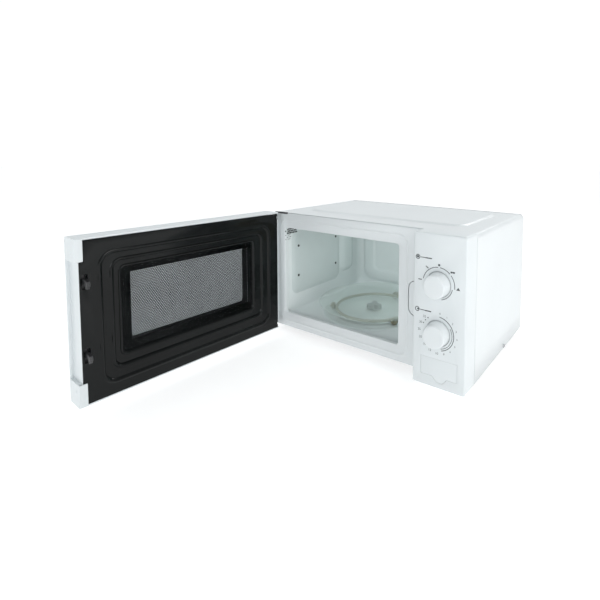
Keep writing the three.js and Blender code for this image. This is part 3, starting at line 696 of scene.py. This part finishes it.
def panel_shell():
    """The control panel's moulding: rounded front, side walls and a well behind each knob."""
    box = (PANEL_X0, PANEL_X1, PANEL_Z0, PANEL_Z1)
    (knob_x0, _, _), (knob_x1, _, _) = corners("power_knob")
    well = (knob_x1 - knob_x0) / 2 + 0.8
    dials = (POWER_Z, TIMER_Z)
    holes = [button_outline(0.25)] + [circle(KNOB_X, z, well, 72) for z in dials]
    edge = 2.8
    bm = bmesh.new()
    add_plate(bm, rounded(inset(box, edge), 1.6), holes, FRONT, FRONT + 3.5, 0.25)
    ring = [loop(inset(box, edge + 0.4), 1.4, FRONT + 0.02)]
    for a in arc(0, math.pi / 2):
        corner = 1.6 + 2.4 * math.sin(a)
        ring.append(loop(inset(box, edge * (1 - math.sin(a))), corner, FRONT + edge * (1 - math.cos(a))))
    add_loft(bm, ring)
    add_plate(bm, rounded(box, 4), [rounded(inset(box, 2.6), 2)], FRONT + 2.5, PLATE_FRONT - 0.4, 0.3)
    for z in dials:
        shaft_hole = circle(KNOB_X, z, 5)
        add_plate(bm, circle(KNOB_X, z, well + 2, 72), [shaft_hole], FRONT + 3.3, FRONT + 4.8, 0.2)
    piece("panel_shell", bm, "cabinet", WHITE_PLASTIC, ["control_panel"])


def release_button():
    """The button's face, and the pusher behind it that meets the release lever."""
    pusher_end = corners("door_release_button")[1][1]
    x, z = BUTTON_X[0], BUTTON_Z[0]
    bm = bmesh.new()
    add_plate(bm, button_outline(0), [], FRONT + 0.1, FRONT + 9, 0.35)
    add_box(bm, x + 4, x + 12, FRONT + 8, pusher_end, z + 12, z + 18)
    piece("release_button", bm, "release_button", WHITE_PLASTIC, ["door_release_button"])


def knobs():
    """Two plain round knobs, each with a shaft into the panel."""
    face = FRONT - 0.6
    for name, z in (("power_knob", POWER_Z), ("timer_knob", TIMER_Z)):
        (x0, tip, _), (x1, _, _) = corners(name)
        r = (x1 - x0) / 2
        profile = [
            (0, FRONT + 1.8), (r - 0.5, FRONT + 1.8), (r, FRONT + 1.2), (r - 0.15, face),
            (r - 1.6, tip + 2.4), (r - 2.1, tip + 0.9), (r - 3.2, tip + 0.15), (r - 5, tip), (0, tip),
        ]
        bm = bmesh.new()
        add_lathe(bm, profile, (KNOB_X, z), "y", 96)
        add_lathe(bm, [(0, face), (3, face), (3, FRONT + 11), (0, FRONT + 11)], (KNOB_X, z), "y", 24)
        piece(name + "_cap", bm, name, KNOB_WHITE, [name])


def arc_outline(u, v, radius, start, end, width):
    """A thin arc, clockwise from start to end in degrees from straight up, as one closed outline."""
    turn = arc(math.radians(start), math.radians(end), 48)
    outer = [(radius + width / 2, a) for a in turn]
    inner = [(radius - width / 2, a) for a in reversed(turn)]
    return [(u + r * math.sin(a), v + r * math.cos(a)) for r, a in outer + inner]


def add_text(bm, words, u, v, size):
    """Flat lettering centred on (u, v), just in front of the panel."""
    curve = bpy.data.curves.new("mark", "FONT")
    curve.body = words
    curve.size = size
    curve.align_x = "CENTER"
    curve.align_y = "CENTER"
    holder = bpy.data.objects.new("mark", curve)
    bpy.context.scene.collection.objects.link(holder)
    seen = holder.evaluated_get(bpy.context.evaluated_depsgraph_get())
    mesh = bpy.data.meshes.new_from_object(seen)
    bpy.data.objects.remove(holder)
    for vertex in mesh.vertices:
        vertex.co = (vertex.co.x + u, FRONT - 0.06, vertex.co.y + v)
    bm.from_mesh(mesh)
    bpy.data.meshes.remove(mesh)


def panel_print():
    """Plain dial marks: two scale arcs, ticks, digits and small symbols."""
    bm = bmesh.new()
    ink = (FRONT - 0.08, FRONT + 0.2)
    scale = 26.3

    def mark(outline, holes=()):
        add_plate(bm, outline, list(holes), *ink)

    def block(u, v, half_u, half_v, radius, steps):
        mark(rounded((u - half_u, u + half_u, v - half_v, v + half_v), radius, steps))

    def spot(centre_z, angle, reach):
        """The place at an angle in degrees, clockwise from straight up, round a dial's centre."""
        a = math.radians(angle)
        return KNOB_X + reach * math.sin(a), centre_z + reach * math.cos(a)

    # power scale: an arc in pieces, a symbol at each break and a triangle at its end
    for start, end in ((-78, -2), (4, 44), (50, 96)):
        mark(arc_outline(KNOB_X, POWER_Z, scale, start, end, 1.05))
    mark(arc_outline(KNOB_X, POWER_Z, scale - 3.4, 100, 166, 1.0))
    u, v = spot(POWER_Z, 1, scale + 3.6)
    block(u, v, 1.7, 1.6, 0.5, 3)
    u, v = spot(POWER_Z, -39, scale + 4.4)
    mark([(u - 3.0, v + 1.6), (u - 1.2, v + 1.9), (u + 3.0, v - 1.2), (u + 1.2, v - 1.9)])
    u, v = spot(POWER_Z, 46, scale + 5.4)
    for du in (-2.0, 1.7):
        block(u + du, v, 1.6, 1.3, 0.5, 3)
    block(u, v, 0.9, 0.5, 0.2, 2)
    u, v = spot(POWER_Z, 93, scale + 5.6)
    mark([(u - 3.2, v - 1.9), (u + 3.2, v - 1.9), (u, v + 2.6)])
    u, v = spot(POWER_Z, -84, scale + 4.6)
    block(u - 0.5, v, 3.1, 0.65, 0.4, 2)

    # timer scale: a double arc, digits all round and three dots before the last ones
    mark(arc_outline(KNOB_X, TIMER_Z, scale, 6, 166, 1.1))
    mark(arc_outline(KNOB_X, TIMER_Z, scale - 2.8, 60, 166, 0.8))
    minutes = (0, 1, 2, 3, 4, 5, 6, 8, 10, 12, 15, 20, 25, 30, 35)
    for index, count in enumerate(minutes):
        u, v = spot(TIMER_Z, 6 + 22 * index, scale + 5.2)
        add_text(bm, str(count), u, v, 5.2 if index > 7 else 4.2)
    for index in range(3):
        u, v = spot(TIMER_Z, 296 + 13 * index, scale + 0.6)
        mark(circle(u, v, 1.0, 10))

    # each dial's heading: a ring with a dot in it, then a thin and a thick rule
    u = 139.6
    for z, dot, aside in ((POWER_Z + 38.2, 2.0, 0), (TIMER_Z + 31.6, 1.5, 1.2)):
        mark(circle(u, z, 3.9), [circle(u, z, 2.7)])
        mark(circle(u + aside, z + 0.2, dot, 14))
        block(u + 8.8, z - 0.05, 4.2, 0.55, 0.3, 2)
        block(u + 18.5, z - 0.15, 5.5, 0.85, 0.4, 2)
    piece("panel_print", bm, "cabinet", PRINT)


# ---- door ----------------------------------------------------------------------------
def cut_with(obj, boxes):
    """Cuts boxes, given where the door is closed, out of a door piece."""
    bm = bmesh.new()
    for box in boxes:
        add_box(bm, *box)
    bmesh.ops.transform(bm, matrix=SWING, verts=bm.verts)
    tool = bpy.data.objects.new("tool", mesh_of(bm, "tool"))
    bpy.context.scene.collection.objects.link(tool)
    bpy.context.view_layer.update()
    away = obj.modifiers.new("pocket", "BOOLEAN")
    away.operation = "DIFFERENCE"
    away.object = tool
    away.solver = "EXACT"
    bpy.context.view_layer.update()
    seen = obj.evaluated_get(bpy.context.evaluated_depsgraph_get())
    made = bpy.data.meshes.new_from_object(seen)
    obj.modifiers.remove(away)
    obj.data = made
    bpy.data.objects.remove(tool)
    smooth(obj.data)


def door_face():
    """The white front of the door with the window's hole."""
    bm = bmesh.new()
    outline = rounded((DOOR_X0, DOOR_X1, DOOR_LOW, DOOR_HIGH), 6)
    add_plate(bm, outline, [rounded(WINDOW, 7)], FRONT, FRONT + 3.2, 1.4)
    piece("door_face", bm, "door", WHITE_PLASTIC, ["door_frame"], swing=True)


def door_rim():
    """The door's side walls, with the long finger grip and a pocket for each hinge arm."""
    low, high = GRIP_Z
    grip = DOOR_X1 - GRIP_DEPTH
    wall = 2.6
    walls = [
        (DOOR_X0, DOOR_LOW), (DOOR_X1, DOOR_LOW), (DOOR_X1, low), (grip, low), (grip, high),
        (DOOR_X1, high), (DOOR_X1, DOOR_HIGH), (DOOR_X0, DOOR_HIGH),
    ]
    inside = (DOOR_X0 + wall, grip - 2.4, DOOR_LOW + wall, DOOR_HIGH - wall)
    bm = bmesh.new()
    add_plate(bm, walls, [rounded(inside, 3)], FRONT + 2, DOOR_BACK - 0.8, 0.5)
    rim = piece("door_rim", bm, "door", WHITE_PLASTIC, swing=True)
    past = 5
    pocket = (DOOR_X0 - past, HINGE[0] + 14, HINGE[1] - 13, DOOR_BACK + past)
    cut_with(rim, [(*pocket, 224, DOOR_HIGH - wall), (*pocket, DOOR_LOW + wall, 16)])


def door_corner_covers():
    """The raised corners above and below the grip, each with a moulded ring on its end."""
    low, high = GRIP_Z
    end = DOOR_X1
    dimple = [(0, end - 0.1), (1.1, end + 0.1), (1.5, end + 0.45), (2.3, end + 0.45), (2.8, end - 0.1)]
    bm = bmesh.new()
    for z0, z1 in ((high, DOOR_HIGH - 0.4), (DOOR_LOW + 0.4, low)):
        corner = rounded((120.5, end - 0.2, z0, z1), 1.2, 4)
        add_plate(bm, corner, [], DOOR_BACK - 3, DOOR_BACK + 0.2, 0.5)
    for z in (high + 12, low - 12):
        add_lathe(bm, dimple, (FRONT + 25, z), "x", 20)
    piece("door_corner_covers", bm, "door", WHITE_PLASTIC, swing=True)


def bead(box, radius, level, width, height):
    """Loops of a half-round ridge over a level counted from the door's back, from outside in."""
    loops = []
    for i in range(7):
        t = i / 6
        by = width * (t - 0.5)
        loops.append(loop(inset(box, by), radius - by, DOOR_BACK + level + height * math.sin(math.pi * t)))
    return loops


def door_inner_panel():
    """The black cover inside the door: a flat border, then three ridges stepping down to the screen."""
    low, high = GRIP_Z[0] + 0.3, GRIP_Z[1] - 0.3
    left, corner, edge = DOOR_X0 + 3, 120.2, DOOR_X1 - GRIP_DEPTH - 0.4
    bottom, top = DOOR_LOW + 2.9, DOOR_HIGH - 2.9
    notch = DOOR_X0 + 4.6
    (low0, low1), (high0, high1) = (CAB_Z1 - 231, CAB_Z1 - 227), (227, 231)
    outline = [
        (left, bottom), (corner, bottom), (corner, low), (edge, low), (edge, high), (corner, high),
        (corner, top), (left, top), (left, high1), (notch, high1), (notch, high0), (left, high0),
        (left, low1), (notch, low1), (notch, low0), (left, low0),
    ]
    slots = [rounded((LATCH_X - 3.6, LATCH_X + 3.6, z - 12, z + 9), 1.5, 4) for z in LATCH_Z]
    bm = bmesh.new()
    add_plate(bm, outline, [rounded(OUTER_RIDGE, 20), *slots], DOOR_BACK - 2, DOOR_BACK, 0.3)
    rows = [loop(inset(OUTER_RIDGE, -2.9), 22.9, DOOR_BACK - 0.6)]
    rows += bead(OUTER_RIDGE, 20, 0.0, 4.6, 0.9)
    rows.append(loop(inset(OUTER_RIDGE, 4.0), 16.5, DOOR_BACK - 2.6))
    rows.append(loop(inset(MIDDLE_RIDGE, -4.5), 17, DOOR_BACK - 3.4))
    rows += bead(MIDDLE_RIDGE, 14, -3.2, 4.4, 1.5)
    rows.append(loop(inset(MIDDLE_RIDGE, 3.6), 11, DOOR_BACK - 6.2))
    rows.append(loop(inset(INNER_RIDGE, -3.8), 11, DOOR_BACK - 7.0))
    rows += bead(INNER_RIDGE, 8, -6.8, 4.0, 1.5)
    rows.append(loop(inset(INNER_RIDGE, 3.4), 6, DOOR_BACK - 10.6))
    rows.append(loop(inset(SCREEN, -1.5), 3, DOOR_BACK - 12.2))
    rows.append(loop(SCREEN, 2, DOOR_BACK - 12.4))
    add_loft(bm, rows)
    nodes = ["door_choke_cover", "door_metal_frame"]
    piece("door_inner_panel", bm, "door", BLACK_GLOSS, nodes, swing=True)


def perforated_screen():
    """A sheet of six-sided cells, each with a hole, in staggered lines."""
    pitch, hole = 3.0, 1.12
    x0, x1, z0, z1 = inset(SCREEN, -3)
    front, back = DOOR_BACK - 12.6, DOOR_BACK - 13.1
    reach = pitch / math.sqrt(3)
    line_step = pitch * math.sqrt(3) / 2
    angles = [math.radians(30 + 60 * k) for k in range(6)]
    bm = bmesh.new()
    for line in range(int((z1 - z0) / line_step)):
        for column in range(int((x1 - x0) / pitch)):
            u = x0 + pitch * (column + 0.5) + (pitch / 2 if line % 2 else 0)
            v = z0 + line_step * (line + 0.5)
            rows = []
            for radius, w in ((reach, back), (hole, back), (hole, front), (reach, front)):
                cell = [(u + radius * math.cos(a), w, v + radius * math.sin(a)) for a in angles]
                rows.append([bm.verts.new(point) for point in cell])
            for near, far in zip(rows, rows[1:]):
                for k in range(6):
                    n = (k + 1) % 6
                    bm.faces.new((near[k], near[n], far[n], far[k]))
    bmesh.ops.remove_doubles(bm, verts=bm.verts, dist=0.01)
    piece("perforated_screen", bm, "door", BLACK_SCREEN, ["door_screen"], swing=True)


def door_windows():
    """The clear film inside, the clear window outside and the dark border behind it."""
    bm = bmesh.new()
    add_plate(bm, rounded(inset(INNER_RIDGE, 3), 5), [], DOOR_BACK - 10.2, DOOR_BACK - 10.0)
    piece("screen_film", bm, "door", WINDOW_GLASS, ["door_inner_film"], swing=True)

    bm = bmesh.new()
    add_plate(bm, rounded(inset(WINDOW, 0.4), 6.6), [], FRONT + 0.3, FRONT + 2.8, 0.2)
    piece("outer_window", bm, "door", WINDOW_GLASS, ["door_outer_window"], swing=True)

    bm = bmesh.new()
    clear = rounded(inset(SCREEN, -3), 5)
    add_plate(bm, rounded(inset(WINDOW, 1.2), 6), [clear], FRONT + 2.9, FRONT + 3.1)
    piece("window_border_print", bm, "door", BLACK_GLOSS, swing=True)


def latch_bar():
    """The sliding bar inside the door and its two hooks."""
    half = 2.2
    x0, x1 = LATCH_X - half, LATCH_X + half
    bm = bmesh.new()
    add_box(bm, x0, x1, DOOR_BACK - 12, DOOR_BACK - 6, LATCH_Z[0] - 20, LATCH_Z[1] + 10)
    for z in LATCH_Z:
        hook = [
            (DOOR_BACK - 8, z - 5), (DOOR_BACK + 6, z - 4.5), (DOOR_BACK + 8, z - 9),
            (DOOR_BACK + 10.5, z - 10), (DOOR_BACK + 15, z - 3), (DOOR_BACK + 13, z + 1),
            (DOOR_BACK + 6, z + 3), (DOOR_BACK - 8, z + 3),
        ]
        add_plate(bm, hook, [], x0, x1, 0.5, "side")
    piece("latch_bar", bm, "latch", BLACK_PLASTIC, ["latch_hooks"], swing=True)


# ---- carried-over nodes ---------------------------------------------------------------
def carried_nodes():
    """Gives the parts that only show from inside the CAD model's shapes with plain looks."""
    looks = {
        STEEL: [
            "waveguide", "magnetron", "transformer_core", "capacitor_clamp", "fan_motor", "turntable_motor",
            "power_selector", "timer_unit", "lever_pivot",
        ],
        ALUMINIUM: ["capacitor"],
        COPPER: ["transformer_winding"],
        BLACK_PLASTIC: [
            "fan_housing", "fan_blade", "high_voltage_diode", "interlock_bracket", "release_lever",
            "door_switch_top", "door_switch_middle", "door_switch_bottom",
        ],
        RUBBER: ["cord_gland"],
        PHENOLIC: ["lamp_socket", "thermal_cutout"],
        LAMP_GLASS: ["lamp_bulb"],
        MICA: ["waveguide_cover"],
        CIRCUIT: ["noise_filter_board"],
    }
    for material, nodes in looks.items():
        for node in nodes:
            obj = frame["nodes"][node]
            obj.data.materials.clear()
            obj.data.materials.append(material)


# ---- camera, floor and light ----------------------------------------------------------
def add_camera():
    """The photo's camera, solved from the photo: place in mm, angles in degrees, lens in image units."""
    place = Vector((441.3, -720.1, 358.8)) * MM
    yaw, pitch, roll = (math.radians(a) for a in (33.2, 3.9, 0.5))
    focal, centre_u, centre_v = 419.8, 381.0, 182.4
    image = 600
    sensor = 36
    camera = bpy.data.cameras.new("camera")
    camera.sensor_width = sensor
    camera.lens = sensor * focal / image
    camera.shift_x = (image / 2 - centre_u) / image
    camera.shift_y = (centre_v - image / 2) / image
    camera.clip_start = 0.01
    level = math.cos(pitch)
    forward = Vector((-math.sin(yaw) * level, math.cos(yaw) * level, -math.sin(pitch)))
    right = Vector((math.cos(yaw), math.sin(yaw), 0))
    up = right.cross(forward)
    tilted_right = right * math.cos(roll) + up * math.sin(roll)
    tilted_up = up * math.cos(roll) - right * math.sin(roll)
    turn = Matrix((tilted_right, tilted_up, -forward)).transposed()
    holder = bpy.data.objects.new("camera", camera)
    holder.matrix_world = Matrix.Translation(place) @ turn.to_4x4()
    bpy.context.scene.collection.objects.link(holder)
    bpy.context.scene.camera = holder


def add_floor():
    """A wide pale disc under the feet, slightly glowing so that it stays even."""
    radius = 12
    glow = 0.56
    floor_z = corners("foot_front_left")[0][2] * MM
    bm = bmesh.new()
    bmesh.ops.create_circle(bm, cap_ends=True, segments=96, radius=radius)
    bmesh.ops.translate(bm, vec=(0, 0, floor_z), verts=bm.verts)
    mesh = bpy.data.meshes.new("floor")
    bm.to_mesh(mesh)
    bm.free()
    floor = bpy.data.objects.new("floor", mesh)
    pale = finish("floor", (0.78, 0.78, 0.78), 0.8, vary=0.004, bump=0.0, Specular_IOR_Level=0.1)
    shader = pale.node_tree.nodes["Principled BSDF"]
    shader.inputs["Emission Color"].default_value = (1, 1, 1, 1)
    shader.inputs["Emission Strength"].default_value = glow
    floor.data.materials.append(pale)
    bpy.context.scene.collection.objects.link(floor)


def add_world():
    """Surroundings that are bright behind the object and dimmer on the side it is seen from."""
    bright_side = (-0.50, 0.75, -0.42)
    strength = {"From Min": -0.35, "From Max": 0.45, "To Min": 0.38, "To Max": 1.08}
    world = bpy.data.worlds.new("studio")
    bpy.context.scene.world = world
    world.use_nodes = True
    nodes, links = world.node_tree.nodes, world.node_tree.links
    place = nodes.new("ShaderNodeTexCoord")
    facing = nodes.new("ShaderNodeVectorMath")
    facing.operation = "DOT_PRODUCT"
    facing.inputs[1].default_value = bright_side
    links.new(place.outputs["Generated"], facing.inputs[0])
    level = nodes.new("ShaderNodeMapRange")
    level.interpolation_type = "SMOOTHSTEP"
    for socket, value in strength.items():
        level.inputs[socket].default_value = value
    links.new(facing.outputs["Value"], level.inputs["Value"])
    links.new(level.outputs["Result"], nodes["Background"].inputs["Strength"])
    nodes["Background"].inputs["Color"].default_value = (0.95, 0.985, 1.0, 1)
    bpy.context.scene.view_settings.view_transform = "Standard"


def add_light(name, spot, target, size, power, colour):
    """An area light at a spot, aimed at a target, both in metres; a pair of sizes is a rectangle."""
    light = bpy.data.lights.new(name, "AREA")
    if isinstance(size, tuple):
        light.shape = "RECTANGLE"
        light.size, light.size_y = size
    else:
        light.size = size
    light.energy = power
    light.color = colour
    lamp = bpy.data.objects.new(name, light)
    lamp.location = spot
    lamp.rotation_mode = "QUATERNION"
    lamp.rotation_quaternion = (Vector(target) - Vector(spot)).to_track_quat("-Z", "Y")
    bpy.context.scene.collection.objects.link(lamp)


def add_lights():
    """Four soft lights round the object and the oven's own light just inside the opening."""
    middle = (0, -0.1, 0.12)
    white, cool = (1.0, 1.0, 1.0), (0.94, 0.985, 1.0)
    add_light("key", (1.3, -0.34, 0.78), middle, 0.8, 7.6, white)
    add_light("front", (0.20, -1.9, 0.75), middle, 1.0, 8.8, cool)
    add_light("back_strip", (0.08, 1.85, 1.50), middle, 0.5, 7, white)
    add_light("left_strip", (-1.25, 0.70, 1.90), middle, 0.28, 3, white)
    inside = (0.01, (PLATE_BACK + 80) * MM, (CEILING_Z - 8) * MM)
    rear_wall = (0.01, REAR_Y * MM, 0.07)
    add_light("cavity_glow", inside, rear_wall, (0.16, 0.05), 0.12, (0.95, 0.99, 1.0))


def screws():
    """One screw low on each side of the cabinet and six in its back."""
    y, z = 37, 6
    screw("side_screw_right_1", y, z, CAB_X1, "side", 1)
    screw("side_screw_left_1", y, z, CAB_X0, "side", -1)
    rear = ((-205, 20), (-205, 222), (0, 226), (205, 120), (205, 20), (0, 12))
    for index, (x, z) in enumerate(rear):
        screw(f"rear_screw_{index + 1}", x, z, BACK, "front", 1, 3.2)


add_camera()
add_floor()
add_world()
add_lights()
cabinet_wrapper()
front_plate()
hinges()
rear_cover()
base_and_feet()
cavity_liner()
cavity_left_pressings()
cavity_plugs()
cavity_vents()
cavity_floor_track()
glass_plate()
roller_ring()
drive_coupler()
panel_shell()
release_button()
knobs()
panel_print()
door_face()
door_rim()
door_corner_covers()
door_inner_panel()
perforated_screen()
door_windows()
latch_bar()
screws()
carried_nodes()
